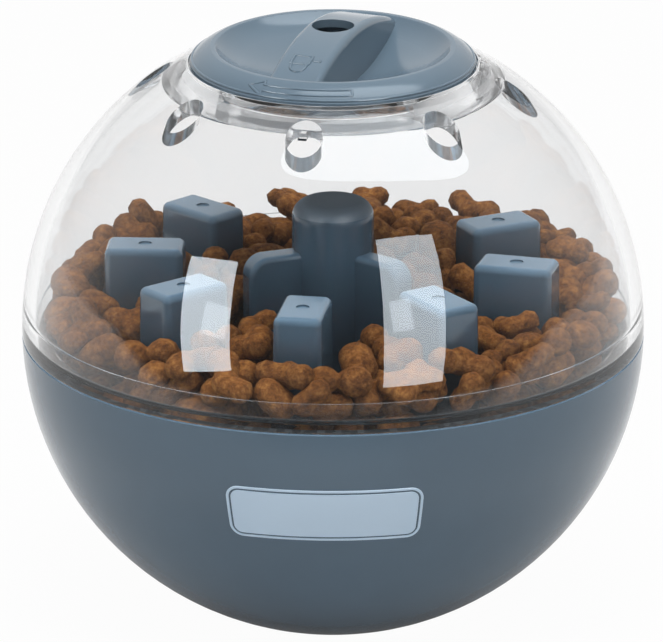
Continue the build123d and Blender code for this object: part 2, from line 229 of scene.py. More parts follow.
CLEAR_COLOUR = (0.962, 0.966, 0.97, 1.0)
CLEAR_BENDING = 1.49
LAMP_WAY_COLOUR = (0.92, 0.92, 0.92, 1.0)

# Painted light and shade on the tray: painted shade by the level on its sides, painted light on its tops and
# painted shade on the post's crown
SIDE_LOW_LEVEL = -0.004
SIDE_HIGH_LEVEL = 0.0185
PAINTED_SIDE_SHADES = (0.25, 0.95)
PAINTED_TOP_LIGHT = 1.75
PAINTED_CROWN_SHADE = 0.5
CROWN_ROUGHNESS = 0.9

# Camera of the photograph, which is 663 by 642 pixels
IMAGE_WIDTH = 663.0
IMAGE_HEIGHT = 642.0
BALL_PIXEL = (333.0, 324.0)
BALL_PIXEL_RADIUS = 311.0
VIEW_AZIMUTH = 9.0
VIEW_ELEVATION = 19.2
VIEW_DISTANCE = 2.1
VIEW_FARTHEST = 20.0
SENSOR_WIDTH = 36.0

# Stage: lamps, floor and surround
LAMP_DISTANCE = 0.9
BOX_TINT = (0.86, 0.94, 1.0)
FILL_TINT = (1.0, 1.0, 1.0)
FLOOR_HALF = 6.0
FLOOR_COLOUR = (0.45, 0.45, 0.45, 1.0)
FLOOR_ROUGHNESS = 0.9
FLOOR_WHITE = 0.97
FLOOR_START = 0.15
FLOOR_END = 0.25
# Painted shadow under the ball in the floor's glow that reflections see, between these distances from the
# middle
SHADE_START = 0.03
SHADE_END = 0.11
SURROUND_COLOUR = (0.97, 0.985, 1.0, 1.0)
SURROUND_STRENGTH = 0.2
ROOM_START = -0.6
ROOM_END = 0.45
ROOM_DIM = 0.14


def camera_frame():
    """Right, up and back directions of the photograph's view."""
    turn = math.radians(VIEW_AZIMUTH)
    lift = math.radians(VIEW_ELEVATION)
    back = Vector((math.sin(turn) * math.cos(lift), -math.cos(turn) * math.cos(lift), math.sin(lift)))
    right = Vector((math.cos(turn), math.sin(turn), 0.0))
    return right, back.cross(right), back


RIGHT, UP, BACK = camera_frame()
BALL_CENTRE = Vector((0.0, 0.0, BALL_MIDDLE))


def polar(radius, angle, level):
    """Point at a radius and an angle in degrees, at a height above the ball's middle."""
    turn = math.radians(angle)
    return Vector((radius * math.cos(turn), radius * math.sin(turn), BALL_MIDDLE + level))


# Pieces and their shapes


def link(piece):
    """Puts a new piece into the scene."""
    bpy.context.scene.collection.objects.link(piece)
    return piece


def mesh_piece(name, points, faces):
    """Piece made of points and faces."""
    mesh = bpy.data.meshes.new(name)
    mesh.from_pydata([tuple(point) for point in points], [], [tuple(face) for face in faces])
    mesh.update()
    return link(bpy.data.objects.new(name, mesh))


def smooth(piece, angle):
    """Smooth shading, with edges sharper than the angle left crisp."""
    piece.data.shade_smooth()
    piece.data.set_sharp_from_angle(angle=math.radians(angle))


def paint(piece, *materials):
    """Gives a piece its materials in place of any that it had."""
    piece.data.materials.clear()
    for material in materials:
        piece.data.materials.append(material)


def lathe(name, outline, steps):
    """Closed piece turned about the Z axis from a loop of (radius, level) points."""
    count = len(outline)
    points = []
    for step in range(steps):
        for radius, level in outline:
            points.append(polar(radius, 360.0 * step / steps, level))
    faces = []
    for step in range(steps):
        here = step * count
        there = (step + 1) % steps * count
        for index in range(count):
            after = (index + 1) % count
            faces.append((here + index, there + index, there + after, here + after))
    return mesh_piece(name, points, faces)


def arc(radius, low_level, high_level, count):
    """Points of a ball's section between two levels."""
    start = math.asin(low_level / radius)
    end = math.asin(high_level / radius)
    turns = np.linspace(start, end, count)
    return [(radius * math.cos(turn), radius * math.sin(turn)) for turn in turns]


def eased_ends(points, first_ease, last_ease):
    """Corners along a curve, with an ease at its two ends only."""
    eases = [first_ease] + [0.0] * (len(points) - 2) + [last_ease]
    return [(*point, ease) for point, ease in zip(points, eases)]


def rounded(corners):
    """Outline in which each (radius, level, ease) corner is rounded by its ease."""
    outline = []
    count = len(corners)
    for index, (x, y, ease) in enumerate(corners):
        here = Vector((x, y))
        if not ease:
            outline.append((x, y))
            continue
        before = Vector(corners[index - 1][:2])
        after = Vector(corners[(index + 1) % count][:2])
        first = here + (before - here).normalized() * min(ease, (before - here).length * EASE_MOST_SHARE)
        last = here + (after - here).normalized() * min(ease, (after - here).length * EASE_MOST_SHARE)
        for step in range(EASE_STEPS + 1):
            share = step / EASE_STEPS
            point = first * (1 - share) ** 2 + here * 2 * share * (1 - share) + last * share**2
            outline.append((point.x, point.y))
    return outline


def ring_block(name, inner, outer, low, high, middle_angle, span):
    """Closed block on a sector of a ring."""
    points = []
    for step in range(BLOCK_STEPS + 1):
        angle = middle_angle - span / 2 + span * step / BLOCK_STEPS
        points += [polar(inner, angle, low), polar(outer, angle, low)]
        points += [polar(outer, angle, high), polar(inner, angle, high)]
    faces = [(0, 1, 2, 3), tuple(4 * BLOCK_STEPS + corner for corner in (3, 2, 1, 0))]
    for step in range(BLOCK_STEPS):
        here = 4 * step
        for corner in range(4):
            after = (corner + 1) % 4
            faces.append((here + corner, here + 4 + corner, here + 4 + after, here + after))
    return mesh_piece(name, points, faces)


def upright_cylinder(name, radius, middle, low, high):
    """Closed cylinder along Z round a middle point."""
    points = []
    for step in range(BORE_STEPS):
        turn = 2 * math.pi * step / BORE_STEPS
        x = middle.x + radius * math.cos(turn)
        y = middle.y + radius * math.sin(turn)
        points += [(x, y, BALL_MIDDLE + low), (x, y, BALL_MIDDLE + high)]
    count = len(points)
    faces = [tuple(range(count - 2, -1, -2)), tuple(range(1, count, 2))]
    for here in range(0, count, 2):
        there = (here + 2) % count
        faces.append((here, there, there + 1, here + 1))
    return mesh_piece(name, points, faces)


def face_outward(piece):
    """Turns a closed piece's faces outward."""
    shape = bmesh.new()
    shape.from_mesh(piece.data)
    bmesh.ops.recalc_face_normals(shape, faces=shape.faces)
    shape.to_mesh(piece.data)
    shape.free()


def combine(piece, tool, operation):
    """Cuts a tool from a piece, or joins it to the piece, and removes the tool."""
    face_outward(tool)
    change = piece.modifiers.new("combine", "BOOLEAN")
    change.operation = operation
    change.solver = "EXACT"
    change.object = tool
    graph = bpy.context.evaluated_depsgraph_get()
    result = bpy.data.meshes.new_from_object(piece.evaluated_get(graph))
    piece.modifiers.clear()
    before = piece.data
    piece.data = result
    bpy.data.meshes.remove(before)
    bpy.data.objects.remove(tool)


# Nodes that the materials and the stage share


def node_material(name):
    """New material, with its nodes, its links and its main shader."""
    material = bpy.data.materials.new(name)
    material.use_nodes = True
    nodes = material.node_tree.nodes
    return material, nodes, material.node_tree.links, nodes["Principled BSDF"]


def noise(nodes, links, scale, detail, roughness=0.5):
    """Noise over the object's own coordinates; scale is in features per metre."""
    place = nodes.new("ShaderNodeTexCoord")
    texture = nodes.new("ShaderNodeTexNoise")
    texture.inputs["Scale"].default_value = scale
    texture.inputs["Detail"].default_value = detail
    texture.inputs["Roughness"].default_value = roughness
    links.new(place.outputs["Object"], texture.inputs["Vector"])
    return texture.outputs["Fac"]


def ramp(nodes, links, source, stops):
    """Colours along a value, from (position, colour) stops: its two ends, then those between."""
    node = nodes.new("ShaderNodeValToRGB")
    for element, (position, colour) in zip(node.color_ramp.elements, stops):
        element.position = position
        element.color = (*colour, 1.0)
    for position, colour in stops[2:]:
        element = node.color_ramp.elements.new(position)
        element.color = (*colour, 1.0)
    links.new(source, node.inputs["Fac"])
    return node.outputs["Color"]


def spread(nodes, links, source, low, high, start=0.0, end=1.0):
    """Value stretched from start..end to low..high."""
    node = nodes.new("ShaderNodeMapRange")
    node.inputs["From Min"].default_value = start
    node.inputs["From Max"].default_value = end
    node.inputs["To Min"].default_value = low
    node.inputs["To Max"].default_value = high
    links.new(source, node.inputs["Value"])
    return node.outputs["Result"]


def bump(nodes, links, height, strength, distance):
    """Bump of a height texture."""
    node = nodes.new("ShaderNodeBump")
    node.inputs["Strength"].default_value = strength
    node.inputs["Distance"].default_value = distance
    links.new(height, node.inputs["Height"])
    return node.outputs["Normal"]


def joined(nodes, links, operation, first, second):
    """Two values joined by an operation; each is a socket or a number."""
    node = nodes.new("ShaderNodeMath")
    node.operation = operation
    for socket, value in zip(node.inputs, (first, second)):
        if isinstance(value, float):
            socket.default_value = value
        else:
            links.new(value, socket)
    return node.outputs["Value"]


def vector_math(nodes, links, operation, vector, other=None):
    """Node that works on a vector, and on a fixed second one where there is one."""
    node = nodes.new("ShaderNodeVectorMath")
    node.operation = operation
    links.new(vector, node.inputs[0])
    if other:
        node.inputs[1].default_value = other
    return node


def upward_part(nodes, links, vector):
    """The part of a vector along Z."""
    parts = nodes.new("ShaderNodeSeparateXYZ")
    links.new(vector, parts.inputs["Vector"])
    return parts.outputs["Z"]


def blend(nodes, links, share, first, second, surface):
    """Two shaders mixed by a share and sent to the surface."""
    mix = nodes.new("ShaderNodeMixShader")
    links.new(share, mix.inputs["Fac"])
    links.new(first, mix.inputs[1])
    links.new(second, mix.inputs[2])
    links.new(mix.outputs["Shader"], surface)


# Materials


def painted_light_and_shade(nodes, links, colour):
    """Colour with painted light on tops, painted shade low on sides and painted shade on the post's crown,
    and the share of the post's crown.
    """
    look = nodes.new("ShaderNodeNewGeometry").outputs["Normal"]
    place = nodes.new("ShaderNodeTexCoord").outputs["Object"]
    flat = vector_math(nodes, links, "MULTIPLY", place, (1.0, 1.0, 0.0)).outputs["Vector"]
    away = vector_math(nodes, links, "LENGTH", flat).outputs["Value"]
    off_post = joined(nodes, links, "GREATER_THAN", away, POST_RADIUS)
    upward = upward_part(nodes, links, look)
    top = joined(nodes, links, "MULTIPLY", upward, off_post)
    crown = joined(nodes, links, "SUBTRACT", upward, top)
    low = BALL_MIDDLE + SIDE_LOW_LEVEL
    high = BALL_MIDDLE + SIDE_HIGH_LEVEL
    # Painted shade: darker low on the sides, lighter up towards the tops of the pegs
    painted_shade = spread(nodes, links, upward_part(nodes, links, place), *PAINTED_SIDE_SHADES, low, high)
    # Painted light on upward faces off the post, and painted shade on the post's crown
    for share, most in ((top, PAINTED_TOP_LIGHT), (crown, PAINTED_CROWN_SHADE)):
        painted_shade = joined(nodes, links, "MULTIPLY", painted_shade, spread(nodes, links, share, 1.0, most))
    shaded_colour = vector_math(nodes, links, "SCALE", colour)
    links.new(painted_shade, shaded_colour.inputs["Scale"])
    return shaded_colour.outputs["Vector"], crown


def moulded_plastic(name, colours, roughness, shine, painted_light=False):
    """Satin moulding with faint flow marks, fine grain and handling scuffs; where asked, also painted light
    on tops, painted shade low on sides and on the post's crown, and a matt crown.
    """
    material, nodes, links, shader = node_material(name)
    shader.inputs["Specular IOR Level"].default_value = shine
    dark, light = colours
    flow = noise(nodes, links, scale=26.0, detail=3.0)
    colour = ramp(nodes, links, flow, [(0.3, dark), (0.7, light)])
    scuffs = noise(nodes, links, scale=160.0, detail=6.0, roughness=0.65)
    rough = spread(nodes, links, scuffs, *roughness)
    if painted_light:
        colour, crown = painted_light_and_shade(nodes, links, colour)
        matt = joined(nodes, links, "MULTIPLY", crown, CROWN_ROUGHNESS)
        rough = joined(nodes, links, "MAXIMUM", rough, matt)
    links.new(colour, shader.inputs["Base Color"])
    links.new(rough, shader.inputs["Roughness"])
    grain = noise(nodes, links, scale=2600.0, detail=2.0)
    links.new(bump(nodes, links, grain, strength=0.06, distance=0.0002), shader.inputs["Normal"])
    return material


def clear_plastic(name, roughness, clarity):
    """Clear moulding, polished or frosted, with faint wear; lamps shine through it."""
    material, nodes, links, shader = node_material(name)
    shader.inputs["Base Color"].default_value = CLEAR_COLOUR
    shader.inputs["Transmission Weight"].default_value = clarity
    shader.inputs["IOR"].default_value = CLEAR_BENDING
    wear = noise(nodes, links, scale=120.0, detail=8.0, roughness=0.7)
    links.new(spread(nodes, links, wear, *roughness), shader.inputs["Roughness"])
    ripple = noise(nodes, links, scale=40.0, detail=2.0)
    links.new(bump(nodes, links, ripple, strength=0.02, distance=0.001), shader.inputs["Normal"])
    shadow = nodes.new("ShaderNodeLightPath").outputs["Is Shadow Ray"]
    lamp_way = nodes.new("ShaderNodeBsdfTransparent")
    lamp_way.inputs["Color"].default_value = LAMP_WAY_COLOUR
    surface = nodes["Material Output"].inputs["Surface"]
    blend(nodes, links, shadow, shader.outputs["BSDF"], lamp_way.outputs["BSDF"], surface)
    return material


def silicone(name):
    """Matt dark silicone with a faint bloom."""
    material, nodes, links, shader = node_material(name)
    dark, light = SILICONE_COLOURS
    bloom = noise(nodes, links, scale=300.0, detail=5.0)
    links.new(ramp(nodes, links, bloom, [(0.3, dark), (0.75, light)]), shader.inputs["Base Color"])
    links.new(spread(nodes, links, bloom, *SILICONE_ROUGHNESS), shader.inputs["Roughness"])
    return material


def plated_steel(name):
    """Zinc-plated steel with fine mottling."""
    material, nodes, links, shader = node_material(name)
    shader.inputs["Metallic"].default_value = 1.0
    dark, light = STEEL_COLOURS
    mottle = noise(nodes, links, scale=700.0, detail=4.0)
    links.new(ramp(nodes, links, mottle, [(0.25, dark), (0.8, light)]), shader.inputs["Base Color"])
    links.new(spread(nodes, links, mottle, *STEEL_ROUGHNESS), shader.inputs["Roughness"])
    return material


def baked_food(name):
    """Baked dry food: a pitted brown crumb, in a tone of its own on each piece."""
    material, nodes, links, shader = node_material(name)
    shader.inputs["Specular IOR Level"].default_value = FOOD_SHINE
    crumb = noise(nodes, links, scale=560.0, detail=10.0, roughness=0.78)
    stops = [(0.35, CRUST_COLOUR), (0.68, PALE_CRUMB_COLOUR), (0.5, CRUMB_COLOUR)]
    colour = ramp(nodes, links, crumb, stops)
    island = nodes.new("ShaderNodeNewGeometry").outputs["Random Per Island"]
    dark, light = FOOD_TONES
    tone = ramp(nodes, links, island, [(0.0, dark), (1.0, light)])
    mixed = nodes.new("ShaderNodeMix")
    mixed.data_type = "RGBA"
    mixed.blend_type = "MULTIPLY"
    mixed.inputs["Factor"].default_value = 1.0
    links.new(colour, mixed.inputs["A"])
    links.new(tone, mixed.inputs["B"])
    links.new(mixed.outputs["Result"], shader.inputs["Base Color"])
    links.new(spread(nodes, links, crumb, *FOOD_ROUGHNESS), shader.inputs["Roughness"])
    pits = noise(nodes, links, scale=900.0, detail=6.0, roughness=0.7)
    links.new(bump(nodes, links, pits, strength=0.9, distance=0.0008), shader.inputs["Normal"])
    return material


grey_plastic = moulded_plastic("grey_plastic", GREY_COLOURS, SATIN_ROUGHNESS, SATIN_SHINE)
cap_plastic = moulded_plastic("cap_plastic", CAP_COLOURS, SATIN_ROUGHNESS, SATIN_SHINE)
# The tray's colour carries painted light on its tops and painted shade low on its sides and on the post's
# crown
tray_plastic = moulded_plastic("tray_plastic", TRAY_COLOURS, TRAY_ROUGHNESS, TRAY_SHINE, painted_light=True)
plate_plastic = moulded_plastic("plate_plastic", PLATE_COLOURS, PLATE_ROUGHNESS, SATIN_SHINE)
clear = clear_plastic("clear_plastic", roughness=(0.0, 0.03), clarity=1.0)
frosted = clear_plastic("frosted_plastic", roughness=(0.03, 0.16), clarity=0.9)
foot_clear = clear_plastic("foot_plastic", roughness=(0.0, 0.08), clarity=0.98)
bore_clear = clear_plastic("bore_plastic", roughness=(0.1, 0.25), clarity=0.92)
seal_silicone = silicone("silicone")
steel = plated_steel("steel")
food_crumb = baked_food("baked_food")

# Finishes of the solids that stay as they are
paint(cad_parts["base_shell"], grey_plastic)
paint(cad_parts["cap"], cap_plastic)
paint(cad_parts["maze_tray"], tray_plastic)
for node in ("seam_seal", "cap_seal"):
    paint(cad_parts[node], seal_silicone)
for node in ("counterweight", "weight_screws", "tray_screws"):
    paint(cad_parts[node], steel)


# Clear dome, turned finely so that what is seen through it bends smoothly


def dome_outline():
    """Section of the dome, with its edges eased."""
    inner = BALL_RADIUS - DOME_WALL
    bottom = SEAM_LEVEL + SEAM_GAP
    neck_edge = math.sqrt(BALL_RADIUS**2 - NECK_RADIUS**2)
    outside = arc(BALL_RADIUS, bottom, neck_edge, DOME_OUTSIDE_STEPS)
    inside = arc(inner, BAND_TOP_LEVEL, NECK_LEDGE_BOTTOM, DOME_INSIDE_STEPS)
    band = arc(inner - BAND_STEP, FLANGE_LEVEL, BAND_TOP_LEVEL, DOME_BAND_STEPS)
    corners = eased_ends(outside, SEAM_EASE, NECK_EASE)
    corners.append((NECK_RADIUS, NECK_LEDGE_TOP, LEDGE_ROOT_EASE))
    corners.append((NECK_LEDGE_RADIUS, NECK_LEDGE_TOP, NECK_EASE))
    corners.append((NECK_LEDGE_RADIUS, NECK_LEDGE_BOTTOM, NECK_EASE))
    corners += eased_ends(inside[::-1], NECK_EASE, BAND_ROOT_EASE)
    corners += eased_ends(band[::-1], BAND_EASE, SPIGOT_ROOT_EASE)
    corners.append((SPIGOT_BORE, SPIGOT_ROOT_LEVEL, SPIGOT_ROOT_EASE))
    corners.append((SPIGOT_BORE, SPIGOT_FOOT_LEVEL, SPIGOT_FOOT_EASE))
    corners.append((SPIGOT_RADIUS, SPIGOT_FOOT_LEVEL, SPIGOT_FOOT_EASE))
    corners.append((SPIGOT_RADIUS, bottom, SEAM_EASE))
    return rounded(corners)


def add_dome_details(piece):
    """Joins the lugs and the neck's stops to the dome, and cuts the neck's notches and the outlets."""
    for angle in DOME_LUG_ANGLES:
        lug = ring_block(
            "lug", SPIGOT_RADIUS - LUG_OVERLAP, DOME_LUG_RADIUS,
            SPIGOT_FOOT_LEVEL, DOME_LUG_TOP, angle, DOME_LUG_SPAN,
        )
        combine(piece, lug, "UNION")
    for angle in CAP_LOCK_ANGLES:
        stop = ring_block(
            "stop", NECK_LEDGE_RADIUS + STOP_INSET, NECK_RADIUS,
            NECK_STOP_BOTTOM, NECK_LEDGE_BOTTOM + TOOL_OVERRUN, angle + NECK_STOP_TURN, NECK_STOP_SPAN,
        )
        combine(piece, stop, "UNION")
        notch = ring_block(
            "notch", NECK_LEDGE_RADIUS - NOTCH_OVERRUN, NECK_NOTCH_RADIUS,
            NECK_LEDGE_BOTTOM - TOOL_OVERRUN, NECK_LEDGE_TOP + TOOL_OVERRUN, angle, NECK_NOTCH_SPAN,
        )
        combine(piece, notch, "DIFFERENCE")
    for number in range(OUTLET_COUNT):
        middle = polar(OUTLET_RING, OUTLET_PITCH * number, 0.0)
        outlet = upright_cylinder("outlet", OUTLET_RADIUS, middle, OUTLET_LOW_LEVEL, OUTLET_HIGH_LEVEL)
        combine(piece, outlet, "DIFFERENCE")


def dome_finish(spot):
    """Material of the dome at a spot."""
    radius = math.hypot(spot.x, spot.y)
    level = spot.z - BALL_MIDDLE
    if radius < NECK_FROST_RADIUS and abs(level - NECK_LEDGE_MIDDLE) < NECK_FROST_REACH:
        return frosted
    if level < FOOT_TOP_LEVEL and radius < FOOT_INNER_RADIUS:
        return foot_clear
    if abs(radius - OUTLET_RING) < OUTLET_RADIUS:
        number = round(math.degrees(math.atan2(spot.y, spot.x)) / OUTLET_PITCH)
        nearest = polar(OUTLET_RING, OUTLET_PITCH * number, level)
        if (spot - nearest).length < BORE_REACH:
            return bore_clear
    return clear


def make_dome():
    """Dome in the place of the solid one, with finishes for its neck, its foot and its outlets."""
    piece = lathe("dome_shell", dome_outline(), DOME_STEPS)
    face_outward(piece)
    add_dome_details(piece)
    smooth(piece, CRISP_ANGLE)
    finishes = [clear, frosted, foot_clear, bore_clear]
    paint(piece, *finishes)
    for face in piece.data.polygons:
        face.material_index = finishes.index(dome_finish(face.center))
    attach(piece, "dome")
    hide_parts("dome")


make_dome()

# Dry food in the tray, a filling and no piece of the toy


def food_skin(lobes, directions):
    """Points of a smooth union of balls, found along directions from its middle."""
    near = np.zeros(len(directions))
    far = np.full(len(directions), FOOD_LONGEST)
    for _ in range(FOOD_SKIN_STEPS):
        half = (near + far) / 2
        points = directions * half[:, None]
        gaps = [np.linalg.norm(points - lobe[:3], axis=1) - lobe[3] for lobe in lobes]
        gap = -FOOD_BLEND * np.log(np.exp(-np.stack(gaps) / FOOD_BLEND).sum(axis=0))
        near = np.where(gap < 0, half, near)
        far = np.where(gap < 0, far, half)
    return directions * near[:, None]


def ball_mesh(level):
    """Directions and triangles of an evenly split ball."""
    shape = bmesh.new()
    bmesh.ops.create_icosphere(shape, subdivisions=level, radius=1.0)
    shape.verts.ensure_lookup_table()
    directions = np.array([tuple(vert.co.normalized()) for vert in shape.verts])
    triangles = np.array([[vert.index for vert in face.verts] for face in shape.faces])
    shape.free()
    return directions, triangles


def food_variants(random, directions):
    """Each baked shape, made uneven in its own way."""
    variants = []
    for lobes in FOOD_SHAPES * FOOD_REPEATS:
        skin = food_skin(np.array(lobes) * MILLIMETRE, directions)
        waves = random.normal(0.0, 1.0 / FOOD_WAVE, (FOOD_WAVES, 3))
        phases = random.uniform(0.0, 2 * math.pi, FOOD_WAVES)
        swell = np.sin(skin @ waves.T + phases).sum(axis=1) * FOOD_SWELL
        skin = skin + directions * swell[:, None]
        skin[:, 2] *= FOOD_FLATNESS
        variants.append(skin)
    return variants


def food_level(x, y):
    """Level that the food is heaped to: higher at the back, with a dip, and bare in front of the post."""
    share = np.clip((y - HEAP_START) / (HEAP_END - HEAP_START), 0.0, 1.0)
    level = HEAP_FRONT + (HEAP_BACK - HEAP_FRONT) * share * share * (3 - 2 * share)
    away = np.degrees(np.arctan2(y, x)) - HEAP_DIP_ANGLE
    level = level - HEAP_DIP * np.exp(-((away / HEAP_DIP_SPAN) ** 2))
    bare = (np.hypot(x, y) < HEAP_BARE_RADIUS) & (y < 0.0)
    return np.where(bare, TRAY_LEVEL, level)


def tray_ground(x, y):
    """Level of the tray under each spot, with the wall, the pegs and the post closed off."""
    radius = np.hypot(x, y)
    ground = np.where(radius > TRAY_REACH, FLANGE_LEVEL + FOOD_CLEAR, TRAY_LEVEL)
    closed = (radius > FOOD_REACH) | (radius < POST_RADIUS + FOOD_CLEAR)
    blocks = [(angle, 0.0, FIN_REACH, FIN_THICKNESS) for angle in FIN_ANGLES]
    inner = PEG_RING - PEG_LENGTH / 2
    blocks += [(angle, inner, inner + PEG_LENGTH, PEG_WIDTH) for angle in PEG_ANGLES]
    for angle, low, high, width in blocks:
        turn = math.radians(angle)
        along = x * math.cos(turn) + y * math.sin(turn)
        across = np.abs(y * math.cos(turn) - x * math.sin(turn))
        inside = (along > low - FOOD_CLEAR) & (along < high + FOOD_CLEAR)
        closed |= inside & (across < width / 2 + FOOD_CLEAR)
    return np.where(closed, BALL_RADIUS, ground)


def turned_food(random, variants, sizes):
    """One piece of food at a random size and turn."""
    skin = variants[random.integers(len(variants))] * random.uniform(*sizes)
    tilt = random.normal(0.0, FOOD_TILT, 2)
    turn = Euler((tilt[0], tilt[1], random.uniform(0.0, 2 * math.pi))).to_matrix()
    return skin @ np.array(turn).T


def lowest_rest(random, variants, sizes, ground, spot):
    """Height, points and cells of the piece that lies lowest over a spot, out of several tries."""
    rests = []
    for _ in range(FOOD_TRIES):
        skin = turned_food(random, variants, sizes)
        shift = random.integers(-FOOD_SHIFT, FOOD_SHIFT + 1, 2)
        cells = np.round(skin[:, :2] / FOOD_CELL).astype(int) + spot + shift
        cells = np.clip(cells, 0, len(ground) - 1)
        if np.abs(cells - spot).max(axis=1).min() > 1:
            continue
        height = (ground[cells[:, 0], cells[:, 1]] - skin[:, 2]).max()
        rests.append((height, skin, cells))
    return min(rests, key=lambda rest: rest[0], default=(BALL_RADIUS, None, None))


def heap_food(random, variants):
    """Points of each piece, laid where the heap is still low and resting on what lies under it."""
    half = int(BALL_RADIUS / FOOD_CELL)
    steps = np.arange(-half, half + 1) * FOOD_CELL
    x, y = np.meshgrid(steps, steps, indexing="ij")
    ground = tray_ground(x, y)
    target = food_level(x, y)
    heap = []
    for sizes in FOOD_SIZES:
        given_up = ground >= BALL_RADIUS
        while len(heap) < FOOD_MOST:
            low = np.argwhere(~given_up & (target - ground > FOOD_LEAST_NEED))
            if not len(low):
                break
            spot = low[random.integers(len(low))]
            height, skin, cells = lowest_rest(random, variants, sizes, ground, spot)
            if height > target[tuple(spot)]:
                given_up[spot[0] - 1:spot[0] + 2, spot[1] - 1:spot[1] + 2] = True
                continue
            height -= FOOD_SINK
            np.maximum.at(ground, (cells[:, 0], cells[:, 1]), skin[:, 2] + height)
            middle = (cells[0] - np.round(skin[0, :2] / FOOD_CELL) - half) * FOOD_CELL
            heap.append(skin + (middle[0], middle[1], height + BALL_MIDDLE))
    return heap


def make_food():
    """The heap as one piece, kept above the tray's floor and inside the dome."""
    random = np.random.default_rng(SEED)
    directions, triangles = ball_mesh(FOOD_FINENESS)
    heap = heap_food(random, food_variants(random, directions))
    faces = [triangles + number * len(directions) for number in range(len(heap))]
    points = np.concatenate(heap)
    points[:, 2] = np.maximum(points[:, 2], BALL_MIDDLE + TRAY_LEVEL + FOOD_LIFT)
    centre = np.array(BALL_CENTRE)
    away = points - centre
    share = np.minimum(1.0, FOOD_LIMIT / np.linalg.norm(away, axis=1))
    points = centre + away * share[:, None]
    piece = mesh_piece("food", points.tolist(), np.concatenate(faces).tolist())
    piece.data.shade_smooth()
    paint(piece, food_crumb)
    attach(piece, "base")


make_food()

# Raised signs and the bare plate


def ridge(route, closed):
    """Points and faces of a raised line along (place, normal) stops of a route."""
    count = len(route)
    half = SIGN_WIDTH / 2
    turns = np.linspace(0.0, math.pi, RIDGE_STEPS)
    profile = [(half, -SIGN_DEPTH)]
    profile += [(half * math.cos(turn), SIGN_HEIGHT * math.sin(turn)) for turn in turns]
    profile += [(-half, -SIGN_DEPTH)]
    points = []
    for index, (place, normal) in enumerate(route):
        before = route[index - 1][0] if closed or index else place
        after = route[(index + 1) % count][0] if closed or index < count - 1 else place
        side = (after - before).normalized().cross(normal).normalized()
        points += [place + side * across + normal * rise for across, rise in profile]
    size = len(profile)
    faces = []
    for index in range(count if closed else count - 1):
        here = index * size
        there = (index + 1) % count * size
        for corner in range(size):
            next_corner = (corner + 1) % size
            faces.append((here + corner, here + next_corner, there + next_corner, there + corner))
    if not closed:
        faces.append(tuple(range(size)))
        faces.append(tuple(range(count * size - 1, (count - 1) * size - 1, -1)))
    return points, faces


def sign(name, lines, body):
    """One piece from several raised lines, each a route and whether it is closed."""
    points = []
    faces = []
    for route, closed in lines:
        new_points, new_faces = ridge(route, closed)
        faces += [tuple(corner + len(points) for corner in face) for face in new_faces]
        points += new_points
    piece = mesh_piece(name, points, faces)
    face_outward(piece)
    smooth(piece, SIGN_CRISP_ANGLE)
    paint(piece, cap_plastic)
    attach(piece, body)


def bar_stop(along, across):
    """Place and normal on the bar's arched top, along it towards the front and across it to the left."""
    turn = along / BAR_ARCH_RADIUS
    heading = math.radians(BAR_ANGLE)
    forward = Vector((math.cos(heading), math.sin(heading), 0.0))
    leftward = Vector((math.sin(heading), -math.cos(heading), 0.0))
    normal = forward * math.sin(turn) + Vector((0.0, 0.0, math.cos(turn)))
    foot = Vector((0.0, 0.0, BALL_MIDDLE + BAR_CREST_LEVEL - BAR_ARCH_RADIUS))
    return foot + normal * BAR_ARCH_RADIUS + leftward * across, normal


def flange_stop(radius, angle):
    """Place and normal on the cap's sloping flange."""
    share = (radius - CAP_RIM_RADIUS) / (CAP_RADIUS - CAP_RIM_RADIUS)
    bulge = 4 * CAP_FLANGE_BULGE * share * (1 - share)
    level = CAP_RIM_LEVEL + (CAP_EDGE_LEVEL - CAP_RIM_LEVEL) * share + bulge
    normal = polar(CAP_RIM_LEVEL - CAP_EDGE_LEVEL, angle, CAP_RADIUS - CAP_RIM_RADIUS - BALL_MIDDLE)
    return polar(radius, angle, level), normal.normalized()


def fine_line(corners, closed):
    """Flat line through corners, with stops no farther apart than the signs' spacing."""
    stops = []
    ends = corners[1:] + corners[:1] if closed else corners[1:]
    for (x0, y0), (x1, y1) in zip(corners, ends):
        steps = max(1, math.ceil(math.hypot(x1 - x0, y1 - y0) / SIGN_SPACING))
        stops += [(x0 + (x1 - x0) * step / steps, y0 + (y1 - y0) * step / steps) for step in range(steps)]
    if not closed:
        stops.append(corners[-1])
    return stops


def make_lock_sign():
    """Padlock drawn along the bar's front half, with a short tick beside it."""
    half = LOCK_WIDTH / 2
    bow = LOCK_BOW_RADIUS
    body_corners = [(-LOCK_BODY, -half), (-LOCK_BODY, half), (0.0, half), (0.0, -half)]
    turns = np.linspace(0.0, math.pi, LOCK_BOW_STEPS)
    shackle = [(0.0, bow)]
    shackle += [(LOCK_BOW_RISE + bow * math.sin(turn), bow * math.cos(turn)) for turn in turns]
    shackle += [(0.0, -bow)]
    tick = [(-LOCK_BODY / 2, -half - TICK_GAP), (-LOCK_BODY / 2, -half - TICK_GAP - TICK_LENGTH)]
    lines = []
    for corners, closed in ((body_corners, True), (shackle, False), (tick, False)):
        stops = fine_line(corners, closed)
        route = [bar_stop(LOCK_PLACE + along, across + LOCK_SHIFT) for along, across in stops]
        lines.append((route, closed))
    sign("lock_sign", lines, "cap")


